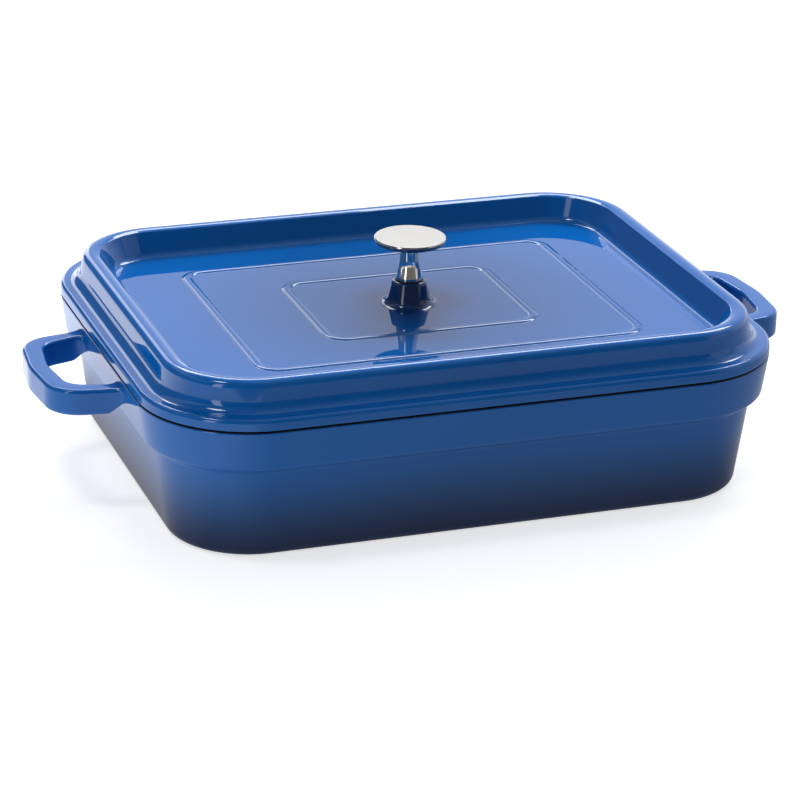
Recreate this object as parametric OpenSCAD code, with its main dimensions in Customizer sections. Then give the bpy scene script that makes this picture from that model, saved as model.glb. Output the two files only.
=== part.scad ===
// Covered casserole: an oblong cast aluminium dish with two loop handles, and a lid with a raised
// rim, a sunk ribbed panel and a stainless knob. Millimetres, +Z up, origin on the table under
// the middle of the dish, +X towards the right-hand handle.

/* [Dish] */
// Length over the rim, without the handles
dish_l = 354; // [350:1:370]
// Width over the rim
dish_w = 280; // [274:1:290]
// Height of the rim above the table
dish_h = 75.9; // [75:0.1:77]
// Plan radius of the rim's corners
corner_r = 60; // [57:1:63]
// Thickness of the wall
wall_t = 4.6; // [4.2:0.1:5]
// Thickness of the floor
floor_t = 5; // [4:0.1:6]
// Height where the deep band round the rim ends and the wall steps in
band_z = 54; // [52:0.5:55]
// How far the band draws in from the rim to its lower edge
band_draft = 3; // [2.5:0.1:3.5]
// How far the wall steps in under the band
step_in = 6.3; // [5.5:0.1:7]
// How far the wall below the step draws in down to the base
wall_draft = 6.5; // [5:0.1:8]

/* [Handles] */
// Distance from the middle of the dish to the tip of a handle
handle_tip = 215.8; // [212:0.1:222]
// Top face of the handles above the table
handle_top = 70; // [68:0.5:71]
// Thickness of the handles
handle_t = 14.5; // [12:0.5:15]
// Width of a handle where it leaves the dish
handle_root_w = 94; // [90:1:100]
// Width of a handle at its outer corners
handle_tip_w = 81; // [78:1:86]
// Thickness of the grip bar at the tip
grip_t = 11; // [10:0.5:12]
// Thickness of the two arms
arm_t = 8.5; // [8:0.5:10]
// How far the grip bar bows outward
grip_bow = 4; // [3:0.5:5]

/* [Lid] */
// Gap that shows between the dish's rim and the lid's brim
seam_gap = 0.5; // [0.4:0.1:0.8]
// Thickness of the brim
brim_t = 6.2; // [5.8:0.1:6.6]
// Height of the raised rim's crest above the table
crest_z = 99.3; // [98.5:0.1:101]
// Height of the sunk panel's top face
panel_z = 84.8; // [84.5:0.1:86]
// Thickness of the panel
panel_t = 4; // [3.5:0.1:4.5]
// Play between the lid's locating lip and the dish wall, on each side
lip_play = 1.4; // [1:0.1:1.6]
// How far the locating lip reaches into the dish
lip_depth = 4.5; // [4:0.5:6]

/* [Ribs] */
// Length of the outer raised rib, over its crest
outer_rib_l = 216; // [205:1:222]
// Width of the outer raised rib
outer_rib_w = 158; // [148:1:164]
// Length of the inner raised rib
inner_rib_l = 119; // [108:1:130]
// Width of the inner raised rib
inner_rib_w = 92; // [84:1:100]
// Height of the ribs above the panel
rib_h = 1.5; // [1:0.1:2]
// Width of a rib at its foot
rib_foot = 5; // [4.5:0.5:6]

/* [Boss] */
// Height of the boss above the panel
boss_h = 13.3; // [12.5:0.1:15]
// Diameter of the boss at its top
boss_top_d = 18.7; // [18:0.1:21]
// Diameter of the boss at its foot, before the fillet
boss_foot_d = 25; // [24:0.1:28]

/* [Knob] */
// Diameter of the knob's cap
cap_d = 40; // [36:1:44]
// Thickness of the cap
cap_t = 3; // [3:0.1:4]
// Length of the stem between the gasket and the cap
stem_h = 21.5; // [20:0.5:24]
// Diameter of the stem at its foot
stem_foot_d = 14.4; // [13.5:0.1:15.5]
// Diameter of the stem at its waist
stem_waist_d = 10.2; // [9.6:0.1:10.6]
// Diameter of the stem under the cap
stem_head_d = 10.8; // [10.7:0.1:12]
// Thickness of the gasket under the stem
gasket_t = 0.6; // [0.5:0.1:1]

/* [Fasteners] */
// Nominal diameter of the knob screw
screw_d = 5; // [4, 5]
// Diameter of the screw's pan head
screw_head_d = 9; // [8.6:0.1:9.4]
// Height of the screw's pan head
screw_head_h = 3; // [2.8:0.1:3.4]
// Length of the thread inside the stem
thread_l = 9; // [8:0.5:10]

/* [Hidden] */

cast_blue = "royalblue";
arc_steps = 5;
round_fn = 64;
overlap = 1;

// Radii of the castings' edges and fillets
rim_edge_r = 1.3;
band_edge_r = 3.5;
step_fillet_r = 3;
base_edge_r = 5;
inner_floor_r = 10;

// Heights that follow from the sizes above
handle_bottom = handle_top - handle_t;
lid_z = dish_h + seam_gap;
brim_top = lid_z + brim_t;
panel_under = panel_z - panel_t;
boss_top = panel_z + boss_h;
stem_foot_z = boss_top + gasket_t;
cap_z = stem_foot_z + stem_h;

// Insets from the rim's outer edge, towards the middle
band_inset = band_draft;
step_z = band_z - 4;
step_inset = band_inset + step_in;
base_inset = step_inset + wall_draft;
rim_inner_inset = wall_t + 0.7;
lip_outer_inset = rim_inner_inset + lip_play + 0.3;
lip_t = 3.6;

// The lid's raised rim: insets of its outer wall, crest, inner edge and inner wall's foot
rim_wall_foot = 10.3;
rim_wall_top = 13;
rim_crest = 18;
rim_inner_edge = 22.2;
rim_inner_foot = 29.5;
rim_wall_t = 4;

// How far the raised rim's edges lie above the brim or below the crest
brim_rise = 0.6;
wall_top_drop = 1.6;
inner_edge_drop = 1.3;
crest_t = 5;

// The pocket under the boss that hides the screw head, and the web above it
pocket_d = 12.5;
web_t = 4.1;
web_under = boss_top - web_t;
hole_d = screw_d + 0.5;
washer_t = 1;
spring_washer_t = 1.2;
head_top = web_under - washer_t - spring_washer_t;
thread_play = 0.05;
spigot_d = 6;
spigot_h = 1.8;
spigot_play = 0.05;

function unit(v) = v / norm(v);

// The points of one corner of an outline: b lies between a and c, and its third number is the
// radius of the arc that replaces it
function corner(a, b, c) =
    let (r = b[2], p = [b[0], b[1]])
    r == 0 ? [p] :
    let (to_a = unit([a[0], a[1]] - p), to_c = unit([c[0], c[1]] - p),
         half = acos(max(-1, min(1, to_a * to_c))) / 2,
         centre = p + unit(to_a + to_c) * r / sin(half),
         start = p + to_a * r / tan(half) - centre,
         first = atan2(start[1], start[0]),
         turn = (cross(to_a, to_c) > 0 ? -1 : 1) * (180 - 2 * half))
    [for (i = [0 : arc_steps])
        centre + r * [cos(first + turn * i / arc_steps), sin(first + turn * i / arc_steps)]];

// A closed outline whose corners are rounded by their own radii
function rounded(points) =
    let (n = len(points))
    [for (i = [0 : n - 1]) each corner(points[(i + n - 1) % n], points[i], points[(i + 1) % n])];

// Turns [inset, height, radius] points into [distance from the corner's centre, height, radius]
function from_corner(points, r) = [for (p = points) [r - p[0], p[1], p[2]]];

// Carries its 2D child, drawn as [distance from the corner's centre, height], once round an
// oblong of length l, width w and corner radius r
module carry_round(l, w, r) {
    straight_l = l - 2 * r;
    straight_w = w - 2 * r;
    for (side = [0, 1]) rotate([0, 0, 180 * side]) {
        translate([l / 2 - r, straight_w / 2, 0])
            rotate([90, 0, 0]) linear_extrude(straight_w) children();
        rotate([0, 0, 90]) translate([w / 2 - r, straight_l / 2, 0])
            rotate([90, 0, 0]) linear_extrude(straight_l) children();
        translate([l / 2 - r, w / 2 - r, 0])
            rotate_extrude(angle = 90, $fn = round_fn) children();
        translate([r - l / 2, w / 2 - r, 0])
            rotate([0, 0, 90]) rotate_extrude(angle = 90, $fn = round_fn) children();
    }
}

// The flat plate that fills the middle of a carried casting, between the corners' centres
module middle_plate(z, t) {
    translate([corner_r - dish_l / 2, corner_r - dish_w / 2, z])
        cube([dish_l - 2 * corner_r, dish_w - 2 * corner_r, t]);
}

// The dish casting: band, step, lower wall and floor in one section
module dish_body() {
    section = [
        [0, dish_h, rim_edge_r],
        [band_inset, band_z, band_edge_r],
        [step_inset, step_z, step_fillet_r],
        [base_inset, 0, base_edge_r],
        [corner_r, 0, 0],
        [corner_r, floor_t, 0],
        [base_inset + wall_t + 1, floor_t, inner_floor_r],
        [step_inset + wall_t, step_z, band_edge_r],
        [band_inset + wall_t, band_z, step_fillet_r],
        [rim_inner_inset, dish_h, rim_edge_r]
    ];
    color(cast_blue) {
        carry_round(dish_l, dish_w, corner_r) polygon(rounded(from_corner(section, corner_r)));
        middle_plate(0, floor_t);
    }
}

// The plan of a handle's loop, its open side running into the dish
module handle_plan() {
    outer_x = handle_tip - grip_bow;
    inner_x = outer_x - grip_t;
    root_x = dish_l / 2 - 2 * band_inset;
    outer_r = 14;
    inner_r = 9;
    tip_half = handle_tip_w / 2;
    root_half = handle_root_w / 2;
    difference() {
        polygon(rounded([
            [root_x, -root_half, 0], [outer_x, -tip_half, outer_r], [handle_tip, 0, 60],
            [outer_x, tip_half, outer_r], [root_x, root_half, 0]
        ]));
        polygon(rounded([
            [root_x - overlap, arm_t - root_half, 0], [inner_x, arm_t - tip_half + 2, inner_r],
            [handle_tip - grip_t, 0, 50],
            [inner_x, tip_half - arm_t - 2, inner_r], [root_x - overlap, root_half - arm_t, 0]
        ]));
    }
}

// One loop handle at the +X end, cut to meet the band's sloping face
module handle() {
    face_slope = band_inset / (dish_h - band_z);
    face_x = dish_l / 2;
    reach = 4 * band_inset;
    difference() {
        translate([0, 0, handle_bottom]) linear_extrude(handle_t) handle_plan();
        translate([0, dish_w / 2, 0]) rotate([90, 0, 0]) linear_extrude(dish_w) polygon([
            [face_x - face_slope * dish_h, 0], [face_x, dish_h],
            [face_x - reach, dish_h], [face_x - reach - face_slope * dish_h, 0]
        ]);
    }
}

module right_handle() {
    color(cast_blue) handle();
}

module left_handle() {
    color(cast_blue) mirror([1, 0, 0]) handle();
}

// A raised rib on the panel, round an oblong of length l and width w over its crest
module rib(l, w) {
    rib_corner_r = 11;
    half_foot = rib_foot / 2;
    half_crest = rib_foot / 5;
    carry_round(l, w, rib_corner_r) translate([rib_corner_r, panel_z]) polygon(rounded([
        [-half_foot, -overlap, 0], [-half_foot, 0, 0], [-half_crest, rib_h, 0.8],
        [half_crest, rib_h, 0.8], [half_foot, 0, 0], [half_foot, -overlap, 0]
    ]));
}

// The boss: a blunt cone with a wide fillet at its foot
module boss() {
    foot_fillet_r = 5;
    skirt = 9;
    rotate_extrude($fn = round_fn) polygon(rounded([
        [0, panel_z - overlap, 0], [boss_foot_d / 2 + skirt, panel_z - overlap, 0],
        [boss_foot_d / 2 + skirt, panel_z, 0], [boss_foot_d / 2, panel_z, foot_fillet_r],
        [boss_top_d / 2, boss_top, 2], [0, boss_top, 0]
    ]));
}

// The lid casting: brim, raised rim, sunk panel, ribs, boss and the locating lip underneath
module lid_body() {
    section = [
        [0, lid_z, rim_edge_r],
        [0.4, brim_top, 1.6],
        [rim_wall_foot, brim_top + brim_rise, 4],
        [rim_wall_top, crest_z - wall_top_drop, 4],
        [rim_crest, crest_z, 8],
        [rim_inner_edge, crest_z - inner_edge_drop, 1],
        [rim_inner_foot, panel_z, 5.5],
        [corner_r, panel_z, 0],
        [corner_r, panel_under, 0],
        [rim_inner_foot - 1.5, panel_under, 2],
        [rim_inner_edge - 0.4, crest_z - crest_t - 1, 1.5],
        [rim_crest - 1, crest_z - crest_t, 1.5],
        [rim_wall_foot + rim_wall_t, lid_z + 3, 0],
        [lip_outer_inset + lip_t, lid_z + 1.5, 0],
        [lip_outer_inset + lip_t, dish_h - lip_depth, 1],
        [lip_outer_inset, dish_h - lip_depth, 1],
        [lip_outer_inset, lid_z, 0.5]
    ];
    color(cast_blue) difference() {
        union() {
            carry_round(dish_l, dish_w, corner_r)
                polygon(rounded(from_corner(section, corner_r)));
            middle_plate(panel_under, panel_t);
            rib(outer_rib_l, outer_rib_w);
            rib(inner_rib_l, inner_rib_w);
            boss();
        }
        translate([0, 0, panel_under - overlap])
            cylinder(d = pocket_d, h = web_under - panel_under + overlap, $fn = round_fn);
        translate([0, 0, web_under - overlap])
            cylinder(d = hole_d, h = web_t + 2 * overlap, $fn = round_fn);
    }
}

// A flat ring of outer diameter d, hole diameter bore and thickness t, standing on height z
module ring(d, bore, t, z) {
    translate([0, 0, z]) difference() {
        cylinder(d = d, h = t, $fn = round_fn);
        translate([0, 0, -overlap]) cylinder(d = bore, h = t + 2 * overlap, $fn = round_fn);
    }
}

// Heat-resistant ring that keeps the steel stem off the enamel
module knob_gasket() {
    color("black") ring(stem_foot_d + 1, hole_d, gasket_t, boss_top);
}

// Polished stem: flared foot, waist, and a spigot that the cap is pressed on
module knob_stem() {
    color("silver") difference() {
        rotate_extrude($fn = round_fn) polygon(rounded([
            [0, stem_foot_z, 0], [stem_foot_d / 2, stem_foot_z, 0],
            [stem_foot_d / 2, stem_foot_z + 1.6, 0.8],
            [stem_waist_d / 2, stem_foot_z + 9, 14],
            [stem_waist_d / 2, cap_z - 5, 12],
            [stem_head_d / 2, cap_z, 0],
            [spigot_d / 2, cap_z, 0], [spigot_d / 2, cap_z + spigot_h, 0],
            [0, cap_z + spigot_h, 0]
        ]));
        translate([0, 0, stem_foot_z - overlap])
            cylinder(d = screw_d, h = thread_l + 1 + overlap, $fn = round_fn);
    }
}

// Flat disc with a softly rounded edge and a blind seat for the stem's spigot
module knob_cap() {
    seat_d = spigot_d + 2 * spigot_play;
    color("gainsboro") difference() {
        rotate_extrude($fn = 96) polygon(rounded([
            [0, cap_z, 0], [cap_d / 2 - 0.5, cap_z, 0.5], [cap_d / 2, cap_z + cap_t - 0.8, 0.6],
            [cap_d / 2 - 0.4, cap_z + cap_t, 0.5], [0, cap_z + cap_t, 0]
        ]));
        translate([0, 0, cap_z - overlap])
            cylinder(d = seat_d, h = spigot_h + 0.1 + overlap, $fn = round_fn);
    }
}

module flat_washer() {
    color("silver") ring(screw_head_d + 1, screw_d + 0.3, washer_t, web_under - washer_t);
}

// Split ring that keeps the screw from working loose
module spring_washer() {
    split_w = 1.2;
    color("gray") difference() {
        ring(screw_head_d - 0.4, screw_d + 0.2, spring_washer_t, head_top);
        translate([0, -split_w / 2, head_top - overlap])
            cube([screw_head_d, split_w, spring_washer_t + 2 * overlap]);
    }
}

// Pan-head screw with a cross recess, driven from under the lid
module knob_screw() {
    slot_w = 1.2;
    slot_l = 5;
    slot_h = 1.6;
    head_z = head_top - screw_head_h;
    color("silver") difference() {
        union() {
            rotate_extrude($fn = round_fn) polygon(rounded([
                [0, head_z, 0], [screw_head_d / 2, head_z, 1.6],
                [screw_head_d / 2, head_top, 0], [0, head_top, 0]
            ]));
            translate([0, 0, head_top - overlap]) cylinder(
                d = screw_d - 2 * thread_play,
                h = stem_foot_z + thread_l - head_top + overlap, $fn = round_fn);
        }
        for (turn = [0, 90]) rotate([0, 0, turn])
            translate([-slot_l / 2, -slot_w / 2, head_z - overlap])
                cube([slot_l, slot_w, slot_h + overlap]);
    }
}

dish_body();
left_handle();
right_handle();
lid_body();
knob_gasket();
knob_stem();
knob_cap();
flat_washer();
spring_washer();
knob_screw();
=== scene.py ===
import bpy
import numpy as np
from mathutils import Matrix, Vector


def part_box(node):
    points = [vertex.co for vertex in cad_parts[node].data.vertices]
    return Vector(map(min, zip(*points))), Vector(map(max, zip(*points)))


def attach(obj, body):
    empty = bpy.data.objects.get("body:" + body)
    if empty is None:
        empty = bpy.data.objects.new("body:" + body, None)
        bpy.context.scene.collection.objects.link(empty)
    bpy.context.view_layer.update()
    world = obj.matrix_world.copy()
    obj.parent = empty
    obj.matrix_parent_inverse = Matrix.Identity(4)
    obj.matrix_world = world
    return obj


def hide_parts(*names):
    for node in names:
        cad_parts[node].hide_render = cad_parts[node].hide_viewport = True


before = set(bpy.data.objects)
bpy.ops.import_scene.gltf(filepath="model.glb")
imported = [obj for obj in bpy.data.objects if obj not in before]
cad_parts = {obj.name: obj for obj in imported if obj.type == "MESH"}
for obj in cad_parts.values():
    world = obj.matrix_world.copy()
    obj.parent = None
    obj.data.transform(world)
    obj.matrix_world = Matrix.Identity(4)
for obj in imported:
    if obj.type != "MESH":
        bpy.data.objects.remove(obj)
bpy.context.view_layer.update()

# ---- Dish ---------------------------------------------------------------------------------
# One aluminium casting, gravity cast with a deep band round its rim and a step under the band.
# Enamelled blue outside, fading to navy towards the base, and coated non-stick inside.

dish_corner = 60.0
dish_high = np.array(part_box("dish_body")[1]) * 1000
# the rim before its edges are rounded off stands this far outside the finished casting
rounding_loss = 0.2
rim_half = dish_high[:2] + rounding_loss
core = rim_half - dish_corner
rim_z = dish_high[2]
dish_floor = 5.0
# inset of the flat middle's own outline, on the dish's floor and base and on the lid's panel
flat_inset = 45
enamel_blue = (0.0, 0.19, 0.60, 1)
enamel_navy = (0.008, 0.028, 0.120, 1)
enamel_cloud = (0.0, 0.16, 0.54, 1)
# paler blue where the enamel thins over an edge, and partly a painted highlight on edges and ribs
enamel_thin_and_highlight = (0.10, 0.36, 0.80, 1)
coating_grey = (0.018, 0.018, 0.020, 1)
coating_speck = (0.16, 0.16, 0.165, 1)


def rounded_line(points, steps=8, joined=False, between=None):
    """A section drawn through points [a, b, r]: each point becomes an arc of radius r that
    touches the two lines meeting there, turned from its start by equal angles. Each straight
    run gets points close to its ends and a few between, or exactly between of them, evenly
    spaced. joined closes the line on itself."""
    at = np.array([p[:2] for p in points], float)
    arcs = []
    for i, (_, _, r) in enumerate(points):
        if r == 0 or (not joined and i in (0, len(points) - 1)):
            arcs.append(at[i:i + 1])
            continue
        to_a, to_c = at[i - 1] - at[i], at[(i + 1) % len(at)] - at[i]
        to_a, to_c = to_a / np.linalg.norm(to_a), to_c / np.linalg.norm(to_c)
        half = np.arccos(np.clip(to_a @ to_c, -1, 1)) / 2
        middle = to_a + to_c
        centre = at[i] + middle / np.linalg.norm(middle) * r / np.sin(half)
        start = at[i] + to_a * r / np.tan(half) - centre
        side = -1 if to_a[0] * to_c[1] - to_a[1] * to_c[0] > 0 else 1
        turn = np.linspace(0, side * (np.pi - 2 * half), steps + 1)
        arcs.append(centre + np.stack([start[0] * np.cos(turn) - start[1] * np.sin(turn),
                                       start[0] * np.sin(turn) + start[1] * np.cos(turn)], 1))
    line = [arcs[0]]
    for before, after in zip(arcs, arcs[1:] + arcs[:1] * joined):
        run = after[0] - before[-1]
        length = np.linalg.norm(run)
        if between:
            line.append(before[-1] + run * np.linspace(0, 1, between + 2)[1:-1, None])
        elif length > 1.0:
            along = np.linspace(0.25, length - 0.25, 2 + int(length / 7))[:, None]
            line.append(before[-1] + run / length * along)
        line.append(after)
    line = np.concatenate(line)
    return line[:-len(arcs[0])] if joined else line


def edge_share(line):
    """How sharp a section is at each of its points: the turn there over the length it is spread
    on, times 1.3 mm, so 1 on an edge of 1.3 mm radius and 0 on a flat."""
    step = np.diff(line, axis=0)
    length = np.linalg.norm(step, axis=1)
    heading = np.unwrap(np.arctan2(step[:, 1], step[:, 0]))
    turn = np.abs(np.diff(heading)) / np.maximum((length[1:] + length[:-1]) / 2, 1e-3)
    return np.clip(np.concatenate([[0], turn, [0]]) * 1.3, 0, 1)


def oblong(core_x, core_y, radius, corner=24, side_x=22, side_y=16):
    """One ring of points: the corners of an oblong core, and the sides between them, each moved
    out by radius along the ring's own outward direction. Anticlockwise from the +X side."""
    quarter = np.linspace(0, np.pi / 2, corner + 1)
    from_to = {n: np.linspace(-1, 1, n + 2)[1:-1] for n in (side_x, side_y)}
    still_x, still_y = np.ones(side_y), np.ones(side_x)
    at_corner = np.ones(corner + 1)
    x = np.concatenate([still_x, at_corner, -from_to[side_x], -at_corner,
                        -still_x, -at_corner, from_to[side_x], at_corner])
    y = np.concatenate([from_to[side_y], at_corner, still_y, at_corner,
                        -from_to[side_y], -at_corner, -still_y, -at_corner])
    angle = np.concatenate([0 * still_x, quarter, 0 * still_y + np.pi / 2, quarter + np.pi / 2,
                            0 * still_x + np.pi, quarter + np.pi,
                            0 * still_y + 1.5 * np.pi, quarter + 1.5 * np.pi])
    return np.stack([core_x * x + radius * np.cos(angle), core_y * y + radius * np.sin(angle)], 1)


def carried(line, core_x, core_y, corner_r):
    """Rings of points: each section point (inset, height) is carried round the oblong at
    corner radius corner_r less its inset, at that height."""
    flat = oblong(core_x, core_y, 0)
    outward = oblong(0, 0, 1)
    xy = flat[None] + (corner_r - line[:, 0])[:, None, None] * outward[None]
    return np.concatenate([xy, np.broadcast_to(line[:, 1, None, None], xy.shape[:2] + (1,))], 2)


def skin(name, rings, joined=False, **shares):
    """A closed mesh over a grid of points in millimetres: point (i, j) is ring i's point j, each
    four neighbours make a face, every ring closes on itself, and the first and last rings meet
    each other if joined, or else are each closed by a fan onto their own middle. shares are
    numbers per ring, kept as point attributes."""
    count, around = rings.shape[:2]
    grid = np.arange(count * around).reshape(count, around)
    last = grid if joined else grid[:-1]
    nxt = np.roll(grid, -1, 0) if joined else grid[1:]
    turn = lambda a: np.roll(a, -1, 1)
    faces = np.stack([last, turn(last), turn(nxt), nxt], 2).reshape(-1, 4).tolist()
    points = rings.reshape(-1, 3)
    if not joined:
        points = np.concatenate([points, rings[:1].mean(1), rings[-1:].mean(1)])
        first, final = count * around, count * around + 1
        faces += np.stack([turn(grid[:1])[0], grid[0], 0 * grid[0] + first], 1).tolist()
        faces += np.stack([grid[-1], turn(grid[-1:])[0], 0 * grid[0] + final], 1).tolist()
    mesh = bpy.data.meshes.new(name)
    mesh.from_pydata((points / 1000).tolist(), [], faces)
    mesh.polygons.foreach_set("use_smooth", np.ones(len(mesh.polygons), bool))
    for label, share in shares.items():
        value = np.repeat(np.asarray(share, np.float32), around)
        if not joined:
            value = np.concatenate([value, value[:1], value[-1:]])
        mesh.attributes.new(label, "FLOAT", "POINT").data.foreach_set("value", value)
    piece = bpy.data.objects.new(name, mesh)
    bpy.context.scene.collection.objects.link(piece)
    return piece


class Amount:
    """A number that a socket carries. An operator on it adds the Math node that works it out."""

    def __init__(self, finish, socket):
        self.finish, self.socket = finish, socket

    def __add__(self, other):
        return self.finish.maths("ADD", self, other)

    def __sub__(self, other):
        return self.finish.maths("SUBTRACT", self, other)

    def __rsub__(self, other):
        return self.finish.maths("SUBTRACT", other, self)

    def __mul__(self, other):
        return self.finish.maths("MULTIPLY", self, other)

    def __truediv__(self, other):
        return self.finish.maths("DIVIDE", self, other)

    __radd__ = __add__


class Finish:
    """A surface finish under construction: a node tree that ends in one shader."""

    def __init__(self, owner, **fixed):
        owner.use_nodes = True
        self.owner, self.tree = owner, owner.node_tree
        self.tree.nodes.clear()
        if fixed:
            self.shader = self.node("ShaderNodeBsdfPrincipled", {}, fixed)
            self.node("ShaderNodeOutputMaterial", {}, {"Surface": self.shader.outputs[0]})

    def node(self, kind, settings, inputs):
        """Adds a node, makes its settings, and then sets or links its sockets."""
        made = self.tree.nodes.new(kind)
        for key, value in settings.items():
            setattr(made, key, value)
        for key, value in inputs.items():
            value = value.socket if isinstance(value, Amount) else value
            if isinstance(value, bpy.types.NodeSocket):
                self.tree.links.new(value, made.inputs[key])
            else:
                made.inputs[key].default_value = value
        return made

    def maths(self, operation, *amounts):
        """The amount that one Math node works out from others."""
        made = self.node("ShaderNodeMath", {"operation": operation}, dict(enumerate(amounts)))
        return Amount(self, made.outputs[0])

    def place(self):
        """Where a point of the surface is, in metres."""
        return self.node("ShaderNodeTexCoord", {}, {}).outputs["Object"]

    def parts(self, vector):
        """A vector's x, y and z."""
        split = self.node("ShaderNodeSeparateXYZ", {}, {0: vector})
        return [Amount(self, split.outputs[i]) for i in range(3)]

    def noise(self, scale, detail, where=None):
        """Smooth noise from 0 to 1, on the place or on another vector."""
        made = self.node("ShaderNodeTexNoise", {},
                         {"Vector": where or self.place(), "Scale": scale, "Detail": detail})
        return Amount(self, made.outputs[0])

    def rise(self, amount, low, high, start=0.0, end=1.0):
        """start below low, end above high, and a smooth step between them."""
        made = self.node("ShaderNodeMapRange", {"interpolation_type": "SMOOTHSTEP"},
                         {"Value": amount, "From Min": low, "From Max": high,
                          "To Min": start, "To Max": end})
        return Amount(self, made.outputs[0])

    def share(self, label):
        """A point attribute of the mesh, or 0 on a mesh that has none of that name."""
        made = self.node("ShaderNodeAttribute", {"attribute_name": label}, {})
        return Amount(self, made.outputs["Fac"])

    def mix(self, factor, first, second):
        """A colour between two others, the second at a factor of 1."""
        made = self.node("ShaderNodeMix", {"data_type": "RGBA"}, {0: factor, 6: first, 7: second})
        return made.outputs[2]

    def relief(self, height, depth):
        """A bumped normal, with the height from 0 to 1 standing for a depth in metres."""
        return self.node("ShaderNodeBump", {}, {"Height": height, "Distance": depth}).outputs[0]

    def wear(self, **sockets):
        """Links what varies over the surface into the shader."""
        for label, value in sockets.items():
            socket = value.socket if isinstance(value, Amount) else value
            self.tree.links.new(socket, self.shader.inputs[label.replace("_", " ")])


def enamel_finish():
    """Fired enamel, a clear glossy glaze over a tinted metallic ground: blue, fading to navy over
    the lowest 57 mm, with a painted shade that darkens it to navy towards the middle of the lid,
    a faint orange peel and clouding, and paler and duller where it thins over an edge, the
    paler part partly a painted highlight along edges and ribs. Where coating is 1 it is the
    speckled non-stick coating instead."""
    f = Finish(bpy.data.materials.new("blue_enamel"),
               **{"Coat Roughness": 0.025, "Coat IOR": 1.5, "IOR": 1.5,
                  "Specular Tint": (0.25, 0.5, 1.0, 1)})
    x, y, height = f.parts(f.place())
    cloud = f.noise(9.0, 3.0)
    peel = f.noise(210.0, 1.0)
    fine = f.noise(1400.0, 2.0)
    coating = f.rise(f.share("coating"), 0.45, 0.55)
    # where the enamel thins over sharp edges; this also carries a painted highlight along edges and rib
    # crests
    thin_and_painted_highlight = f.share("edge") * f.rise(f.noise(60.0, 3.0), 0.35, 0.65)
    radius = f.maths("SQRT", x * x + y * y)
    # painted shade: the lid's glaze darkens to navy towards its middle, round the boss
    middle = 0.05 + f.rise(radius, 0.010, 0.045) * 0.40 + f.rise(radius, 0.03, 0.16) * 0.55
    # the real ombre towards the base, times the painted shade towards the lid's middle
    ombre_and_centre_shade = f.rise(height + (cloud - 0.5) * 0.004, -0.004, 0.057) * middle
    glaze = f.mix(ombre_and_centre_shade, enamel_navy, enamel_blue)
    glaze = f.mix((cloud - 0.4) * 0.35, glaze, enamel_cloud)
    # paler where the enamel thins over an edge, and partly a painted highlight
    glaze = f.mix(thin_and_painted_highlight * 0.18, glaze, enamel_thin_and_highlight)
    speck = f.node("ShaderNodeTexVoronoi", {}, {"Vector": f.place(), "Scale": 620.0})
    dot = f.rise(Amount(f, speck.outputs["Distance"]), 0.16, 0.10)
    stone = f.mix(dot * 0.7, coating_grey, coating_speck)
    rough = 0.72 + cloud * 0.05 + fine * 0.04 + thin_and_painted_highlight * 0.08
    dull = 0.40 + fine * 0.16
    f.wear(Base_Color=f.mix(coating, glaze, stone),
           Metallic=(1 - coating) * 0.9,
           Roughness=rough * (1 - coating) + dull * coating,
           Coat_Weight=1 - coating * 0.94,
           Normal=f.relief(peel * (1 - coating) + fine * coating, 0.00003))
    return f.owner


enamel = enamel_finish()
dish_section = [
    [flat_inset, 0, 0], [15.8, 0, 5], [9.3, 50, 3], [3, 54, 3.5], [0, rim_z, 1.3],
    [5.3, rim_z, 1.3], [7.6, 54, 3], [13.9, 50, 3.5], [21.4, dish_floor, 10],
    [flat_inset, dish_floor, 0],
]
dish_line = rounded_line(dish_section)
# the coating starts on the rim's outer edge and covers all of the inside
dish_inside = np.arange(len(dish_line)) > np.argmax(dish_line[:, 1] > rim_z - 0.7)
dish = skin("cast_dish", carried(dish_line, *core, dish_corner),
            coating=dish_inside, edge=edge_share(dish_line))
dish.data.materials.append(enamel)
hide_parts("dish_body")
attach(dish, "dish")

# ---- Handles ------------------------------------------------------------------------------
# Two flat loops cast in one with the dish at its ends: straight arms, a slightly bowed grip bar,
# softly rounded edges, and roots that flare into the band.

root_half = 47.0
tip_half = 40.5
arm_wide = 8.5
grip_wide = 11.0
grip_bow = 4.0
# the bowed outline's point stands this far outside the arc drawn in it
bow_loss = 0.3
# the inner corners are drawn this much nearer the middle than the width of an arm puts them
corner_shift = 2.0
handle_edge = 2.2
outer_corner, inner_corner = 20, 12
flare_reach = 9.0
flare_outside, flare_inside, flare_above = 0.3, 0.9, 0.1
climb_reach = 6.5


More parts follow.
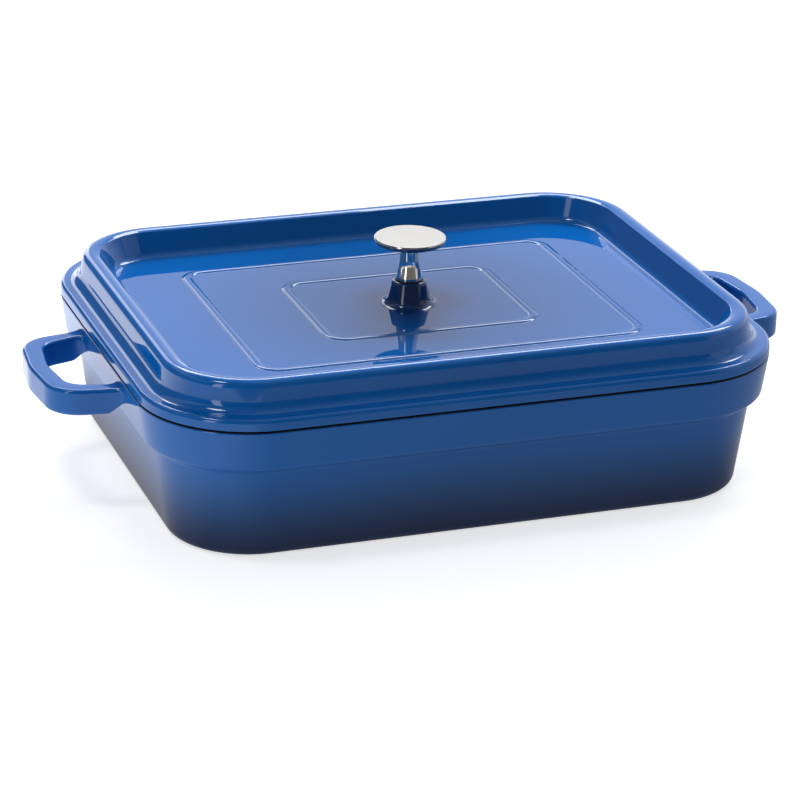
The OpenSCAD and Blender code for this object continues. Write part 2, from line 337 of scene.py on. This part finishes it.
def handle_rings(low, high):
    """The loop of the +X handle: the outer and inner outlines are sampled alike, arm, corner, grip,
    corner, arm, and each pair of points carries a rounded-rectangle section between them. Near
    the band the section swells by shares of r - sqrt(r^2 - (r - d)^2), with d the distance to
    the band up to a reach r, and its underside climbs at 45 degrees over the last few
    millimetres, by half of sqrt(e^2 + 1) + e, with e the reach of the climb less the distance."""
    outer_x = high[0] + bow_loss - grip_bow
    inner_x = outer_x - grip_wide
    # the loop's ends lie inside the thickness of the band
    root_x = rim_half[0] - 4.4
    outlines = []
    for points in (
        [[root_x, -root_half, 0], [outer_x, -tip_half, outer_corner], [outer_x + grip_bow, 0, 60],
         [outer_x, tip_half, outer_corner], [root_x, root_half, 0]],
        [[root_x, arm_wide - root_half, 0], [inner_x, arm_wide - tip_half + corner_shift, inner_corner],
         [inner_x + grip_bow, 0, 50],
         [inner_x, tip_half - arm_wide - corner_shift, inner_corner],
         [root_x, root_half - arm_wide, 0]],
    ):
        outlines.append(rounded_line(points, steps=14, between=18))
    outer, inner = outlines
    # distance from the band's sloping face, which leans in by 3 mm over 21.9 mm
    far = np.minimum(outer[:, 0], inner[:, 0]) - (rim_half[0] - 2.0)
    d = np.clip(far, 0, flare_reach)
    flare = flare_reach - np.sqrt(flare_reach ** 2 - (flare_reach - d) ** 2)
    climb = 0.5 * (np.sqrt((climb_reach - far) ** 2 + 1) + climb_reach - far)
    across = outer - inner
    across /= np.linalg.norm(across, axis=1, keepdims=True)
    outer = outer + across * (flare_outside * flare)[:, None]
    inner = inner - across * (flare_inside * flare)[:, None]
    top = high[2] + flare_above * flare
    under = low[2] + climb
    # each corner's arc, (side, end, cosine, sine), then the middle of the side after it
    turn = np.linspace(0, np.pi / 2, 9)
    shape = []
    for k, (side, end) in enumerate([(1, -1), (1, 1), (-1, 1), (-1, -1)]):
        a = turn + (k - 1) * np.pi / 2
        mid = ([1, 0], [0, 1], [-1, 0], [0, -1])[k]
        shape.append(np.stack([side + 0 * a, end + 0 * a, np.cos(a), np.sin(a)], 1))
        shape.append(np.array([mid + mid], float))
    shape = np.concatenate(shape)
    half = np.linalg.norm(outer - inner, axis=1) / 2
    middle = (outer + inner) / 2
    tall = (top - under) / 2
    level = (top + under) / 2
    reach = (half - handle_edge)[:, None] * shape[None, :, 0] + handle_edge * shape[None, :, 2]
    lift = (tall - handle_edge)[:, None] * shape[None, :, 1] + handle_edge * shape[None, :, 3]
    # the middle of a side lies on the side itself
    on_side = (np.abs(shape[:, 0]) + np.abs(shape[:, 1])) < 1.5
    reach[:, on_side] = half[:, None] * shape[None, on_side, 0]
    lift[:, on_side] = tall[:, None] * shape[None, on_side, 1]
    xy = middle[:, None, :] + across[:, None, :] * reach[:, :, None]
    return np.concatenate([xy, (level[:, None] + lift)[:, :, None]], 2)


for side, label in ((1, "right_handle"), (-1, "left_handle")):
    low, high = (np.array(c) * 1000 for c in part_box(label))
    if side < 0:
        low, high = np.array([-high[0], low[1], low[2]]), np.array([-low[0], high[1], high[2]])
    rings = handle_rings(low, high)
    rings[:, :, 0] *= side
    # mirrored rings run the other way round, so the faces still point out
    rings = rings if side < 0 else rings[::-1]
    loop = skin("cast_" + label, rings)
    loop.data.materials.append(enamel)
    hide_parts(label)
    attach(loop, "dish")

# ---- Lid ----------------------------------------------------------------------------------
# One aluminium casting in the same enamel: a flat brim, a raised rim, a sunk panel with two
# raised ribs, and a blunt boss for the knob. A lip under the brim drops inside the dish.

seam_z = rim_z + 0.5
panel_z = 84.8
panel_under = 80.8
boss_top = np.array(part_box("knob_gasket")[0])[2] * 1000
lid_section = [
    [flat_inset, panel_under, 0], [28, panel_under, 2], [21.8, 93.3, 1.5], [17, 94.3, 1.5],
    [14.3, 79.4, 0], [10.6, 77.9, 0], [10.6, 71.4, 1], [7.0, 71.4, 1], [7.0, seam_z, 0.5],
    [0, seam_z, 1.0], [0.4, 82.6, 2.4], [10.3, 83.2, 6.5], [13, 97.7, 4], [18, 99.3, 8],
    [22.2, 98.0, 1], [29.5, panel_z, 5.5], [flat_inset, panel_z, 0],
]

rib_corner = 11
rib_line = rounded_line([[-3.4, panel_z, 0], [-2.8, panel_z, 1.4], [0, panel_z + 1.4, 5.5],
                         [2.8, panel_z, 1.4], [3.4, panel_z, 0]], 12)


def rib_rings(long, wide):
    """A rib's rings from outside to inside: its section, a low crest 0.75 mm high on a 5.6 mm
    foot, is carried round an oblong whose corners have the rib's corner radius at the crest."""
    return carried(rib_line, long / 2 - rib_corner, wide / 2 - rib_corner, rib_corner)


lid_line = rounded_line(lid_section)
lid_rings = carried(lid_line, *core, dish_corner)
inner_rib = rib_rings(119, 92)
# the boss is turned: circles whose points lie in the same directions as the inner rib's
heading = np.arctan2(inner_rib[-1, :, 1], inner_rib[-1, :, 0])
compass = np.stack([np.cos(heading), np.sin(heading)], 1)


def turned(line):
    """Circles: each section point (radius, height) is turned about the upright axis."""
    xy = line[:, None, None, 0] * compass[None]
    return np.concatenate([xy, np.broadcast_to(line[:, 1, None, None], xy.shape[:2] + (1,))], 2)


boss_line = rounded_line([[22.0, panel_z, 0], [12.5, panel_z, 5], [9.35, boss_top, 2],
                          [2.75, boss_top, 0.3], [2.75, 94.0, 0.3], [6.25, 94.0, 0.5],
                          [6.25, panel_under, 0.4], [9.0, panel_under, 0]])
lid_all = np.concatenate([lid_rings, rib_rings(216, 158), inner_rib, turned(boss_line)])
sharp = [edge_share(lid_line), edge_share(rib_line), edge_share(rib_line),
         edge_share(boss_line)]
# everything from the screw's hole and pocket out to the brim's lower edge carries the coating
brim_under = np.argmax((lid_line[:, 0] < 0.9) & (lid_line[:, 1] > seam_z + 0.3))
below = np.arange(len(boss_line)) > np.argmin(boss_line[:, 0])
coated = [np.arange(len(lid_line)) < brim_under, np.zeros(2 * len(inner_rib)), below]
lid = skin("cast_lid", lid_all, joined=True,
           coating=np.concatenate(coated), edge=np.concatenate(sharp))
lid.data.materials.append(enamel)
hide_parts("lid_body")
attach(lid, "lid")

# ---- Knob gasket --------------------------------------------------------------------------
# A punched ring of black silicone sheet between the boss and the steel stem, which keeps the
# steel off the enamel. Slightly dusty, with a fine grain.


def gasket_finish():
    """Black silicone: matt, with a fine grain and pale dust caught in patches."""
    f = Finish(bpy.data.materials.new("gasket_rubber"), **{"IOR": 1.45})
    dust = f.rise(f.noise(180.0, 3.0), 0.45, 0.75)
    grain = f.noise(2600.0, 2.0)
    f.wear(Base_Color=f.mix(dust * 0.4, (0.012, 0.012, 0.013, 1), (0.05, 0.05, 0.052, 1)),
           Roughness=0.55 + grain * 0.2, Normal=f.relief(grain, 0.00003))
    return f.owner


def refinish(label, finish):
    """Keeps a CAD node's own shape and gives it a finish in place of the one it came with."""
    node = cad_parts[label]
    node.data.materials.clear()
    node.data.materials.append(finish)


refinish("knob_gasket", gasket_finish())

# ---- Knob stem ----------------------------------------------------------------------------
# Turned and polished stainless: a flared foot, a waist and a slightly wider head, tapped from
# below for the screw. The cap is pressed on its spigot.


def lathe(name, line, joined=False, **shares):
    """A turned piece: each section point (radius, height) is swept once round the upright axis,
    radius times cosine and sine of the angle, in 128 equal steps. shares are kept as in skin."""
    angle = np.linspace(0, 2 * np.pi, 128, endpoint=False)
    xy = line[:, None, None, 0] * np.stack([np.cos(angle), np.sin(angle)], 1)[None]
    rings = np.concatenate([xy, np.broadcast_to(line[:, 1, None, None], xy.shape[:2] + (1,))], 2)
    return skin(name, rings, joined, **shares)


def steel_finish(label, rough, groove, spread, tint):
    """Turned steel: fine rings of uneven depth about the axis, drawn from noise on the radius and
    height alone, with a slightly smeared polish and a few duller handling marks. Where satin is
    1 it is brushed dull."""
    f = Finish(bpy.data.materials.new(label), **{"Metallic": 1.0, "IOR": 2.5})
    x, y, z = f.parts(f.place())
    radius = f.maths("SQRT", x * x + y * y)
    spot = f.node("ShaderNodeCombineXYZ", {}, {0: radius, 1: z, 2: 0.0}).outputs[0]
    rings = f.noise(groove, 2.0, spot)
    smear = f.noise(120.0, 3.0)
    marks = f.rise(f.noise(55.0, 4.0), 0.55, 0.72)
    f.wear(Base_Color=f.mix(smear * 0.25, tint, (0.60, 0.59, 0.58, 1)),
           Roughness=rough + f.share("satin") * 0.27 + rings * spread + marks * 0.05,
           Normal=f.relief(rings, 0.000004))
    return f.owner


def section_of(label):
    """A CAD node's lowest and highest corners at rest, in millimetres."""
    return [np.array(c) * 1000 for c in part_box(label)]


foot_z, head_z = section_of("knob_stem")[0][2], section_of("knob_cap")[0][2]
stem_line = rounded_line([
    [2.5, foot_z, 0], [7.2, foot_z, 0.2], [7.2, foot_z + 1.6, 0.8], [5.5, foot_z + 9.5, 30],
    [5.08, head_z - 3, 6], [5.4, head_z - 0.05, 0.15], [3.0, head_z - 0.05, 0],
    [3.0, head_z + 1.7, 0.2],
    [2.5, head_z + 1.7, 0], [2.5, head_z - 1.6, 0], [2.5, foot_z + 10, 0]], 10, joined=True)
stem = lathe("knob_stem_steel", stem_line, joined=True)
stem.data.materials.append(steel_finish("polished_steel", 0.05, 900.0, 0.05, (0.80, 0.74, 0.66, 1)))
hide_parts("knob_stem")
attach(stem, "lid")

# ---- Knob cap -----------------------------------------------------------------------------
# A turned stainless disc with a satin top and a polished edge, pressed on the stem's spigot.

cap_low, cap_high = section_of("knob_cap")
cap_r = cap_high[0]
cap_line = rounded_line([
    [0.0, cap_low[2] + 1.9, 0], [3.05, cap_low[2] + 1.9, 0.1], [3.05, cap_low[2], 0.2],
    [cap_r - 0.5, cap_low[2], 0.5], [cap_r, cap_high[2] - 0.8, 0.6],
    [cap_r - 0.4, cap_high[2], 0.5], [0.0, cap_high[2], 0]], 8)
# the two points on the axis are left to the fans that close the ends
cap_line = cap_line[1:-1]
cap = lathe("knob_cap_steel", cap_line, satin=cap_line[:, 1] > cap_high[2] - 0.05)
cap.data.materials.append(steel_finish("satin_steel", 0.07, 1500.0, 0.08, (0.42, 0.417, 0.41, 1)))
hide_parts("knob_cap")
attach(cap, "lid")

# ---- Flat washer --------------------------------------------------------------------------
# A plated steel washer punched from sheet, in the pocket under the boss. It spreads the screw's
# load over the aluminium.

fastener = steel_finish("fastener_steel", 0.24, 1800.0, 0.12, (0.55, 0.55, 0.56, 1))
refinish("flat_washer", fastener)

# ---- Spring washer ------------------------------------------------------------------------
# A split ring of plated spring steel between the flat washer and the screw's head. It keeps the
# knob tight when the lid heats and cools.

refinish("spring_washer", fastener)

# ---- Knob screw ---------------------------------------------------------------------------
# A plated steel pan-head screw with a cross recess. It comes up through the boss from under the
# lid and is driven into the stem.

refinish("knob_screw", fastener)

# ---- Floor, light and camera --------------------------------------------------------------
# A plain white floor and a soft white studio: a bright card behind and to the right, three upright
# strips of light, two lamps above, and a darker room in front. The floor looks white to the eye,
# and in reflections it is dimmer in front of the dish and next to it.

floor_half = 6
# about half the length and width of the dish's base
base_half = (0.16, 0.12)
flat = bpy.data.meshes.new("floor")
flat.from_pydata([(x * floor_half, y * floor_half, 0) for x, y in
                  ((-1, -1), (1, -1), (1, 1), (-1, 1))], [], [(0, 1, 2, 3)])
floor = bpy.data.objects.new("floor", flat)
bpy.context.scene.collection.objects.link(floor)


def floor_finish():
    """White floor: matt with a soft shadow for the eye, and for reflections a glow that is strong
    behind and to the left of the dish, weak in front of it, and half as strong under it
    and right next to its base, a painted shadow."""
    f = Finish(bpy.data.materials.new("studio_floor"))
    x, y, _ = f.parts(f.place())
    behind = f.rise(y, -0.10, 0.35)
    left = f.rise(x, -0.10, -0.22)
    gap = f.maths("MAXIMUM", f.maths("ABSOLUTE", x) - base_half[0],
                  f.maths("ABSOLUTE", y) - base_half[1])
    # painted shadow: the reflected glow is halved under the dish and right next to its base
    clear = f.rise(gap, -0.02, 0.06, 0.5, 1.0)
    glow = (0.44 + behind * 0.30 + left * 0.45 + behind * left * 0.6) * clear
    matt = f.node("ShaderNodeBsdfDiffuse", {}, {"Color": (0.92, 0.92, 0.92, 1)}).outputs[0]
    lift = f.node("ShaderNodeEmission", {}, {"Color": (1, 1, 1, 1), "Strength": 0.64}).outputs[0]
    seen = f.node("ShaderNodeAddShader", {}, {0: matt, 1: lift}).outputs[0]
    lit = f.node("ShaderNodeEmission", {}, {"Color": (1, 1, 1, 1), "Strength": glow}).outputs[0]
    eye = f.node("ShaderNodeLightPath", {}, {}).outputs["Is Camera Ray"]
    both = f.node("ShaderNodeMixShader", {}, {0: eye, 1: lit, 2: seen}).outputs[0]
    f.node("ShaderNodeOutputMaterial", {}, {"Surface": both})
    return f.owner


floor.data.materials.append(floor_finish())

studio = bpy.data.worlds.new("studio")
bpy.context.scene.world = studio
sky = Finish(studio)
toward = sky.node("ShaderNodeTexCoord", {}, {}).outputs["Generated"]
to_x, to_y, to_z = sky.parts(toward)
# the sky in parts: the front half, its low and its high part, the low edge behind, the card to the
# right, what is left of the card with height, and a band about 43 degrees up
front = sky.rise(to_y, 0.15, -0.45)
low_front = sky.rise(to_z, 0.25, -0.05)
high = sky.rise(to_z, 0.60, 0.92)
back_edge = sky.rise(to_z, 0.26, 0.06) * sky.rise(to_y, 0.2, 0.7)
card = sky.rise(to_x, -0.06, 0.12)
dome = sky.rise(to_z, 0.70, 0.42, 0.35, 1.0)
ridge = sky.rise(to_z, 0.56, 0.62) * sky.rise(to_z, 0.80, 0.74)
behind = 0.14 + card * (0.80 + back_edge * 0.6) * dome + ridge * 0.5
light = behind * (1 - front) + front * (0.06 + low_front * 0.16 + high * 0.15)


def upright_strip(bearing, half_angle, strength):
    """An upright strip of sky within the half angle of a bearing, both in degrees, the bearing
    round from the front. Its sides soften over 3 degrees, and it fades out between 30 and 49
    degrees up."""
    sine, cosine = np.sin(np.radians(bearing)), np.cos(np.radians(bearing))
    level = sky.maths("SQRT", to_x * to_x + to_y * to_y)
    near = (to_x * float(sine) - to_y * float(cosine)) / level
    soft = 3
    edge = np.cos(np.radians([half_angle + soft, half_angle]))
    return sky.rise(near, *edge.tolist()) * sky.rise(to_z, 0.75, 0.50) * strength


light = light + upright_strip(180, 4, 2.5) + upright_strip(-55, 4, 3.2) + upright_strip(58, 14, 0.5)
eye = Amount(sky, sky.node("ShaderNodeLightPath", {}, {}).outputs["Is Camera Ray"])
strength = light * (1 - eye) + eye * 1.15
even = sky.node("ShaderNodeBackground", {}, {"Color": (1, 1, 1, 1), "Strength": strength})
sky.node("ShaderNodeOutputWorld", {}, {"Surface": even.outputs[0]})


def softbox(name, at, aim, size_x, size_y, power):
    """A rectangular lamp at a point, facing another, size_x by size_y metres."""
    lamp = bpy.data.lights.new(name, "AREA")
    lamp.shape, lamp.size, lamp.size_y, lamp.energy = "RECTANGLE", size_x, size_y, power
    held = bpy.data.objects.new(name, lamp)
    bpy.context.scene.collection.objects.link(held)
    held.location = at
    held.rotation_euler = (Vector(aim) - Vector(at)).to_track_quat("-Z", "Y").to_euler()


softbox("main", (0.62, 1.32, 1.44), (0, 0, 0.09), 1.7, 0.36, 16)
softbox("high_left", (-0.75, -0.10, 1.65), (0, 0, 0.09), 0.30, 0.30, 4)

# seen from in front, 20 degrees round to the left and 22 degrees up, with a slight roll
turn, tilt, roll = np.radians([-19.69, 21.88, 1.25]).tolist()
away, to_right, to_top = 1.8009, -0.003644, 0.02411
back = np.array([np.sin(turn) * np.cos(tilt), -np.cos(turn) * np.cos(tilt), np.sin(tilt)])
right = np.cross([0, 0, 1], back)
right /= np.linalg.norm(right)
up = np.cross(back, right)
axis_x = np.cos(roll) * right + np.sin(roll) * up
axis_y = -np.sin(roll) * right + np.cos(roll) * up
stand = back * away + right * to_right + up * to_top
lens = bpy.data.cameras.new("camera")
lens.lens, lens.sensor_width = 143.4, 36
camera = bpy.data.objects.new("camera", lens)
bpy.context.scene.collection.objects.link(camera)
placed = np.eye(4)
placed[:3, :3] = np.stack([axis_x, axis_y, back], 1)
placed[:3, 3] = stand
camera.matrix_world = Matrix(placed.tolist())
bpy.context.scene.camera = camera
bpy.context.scene.view_settings.view_transform = "Standard"
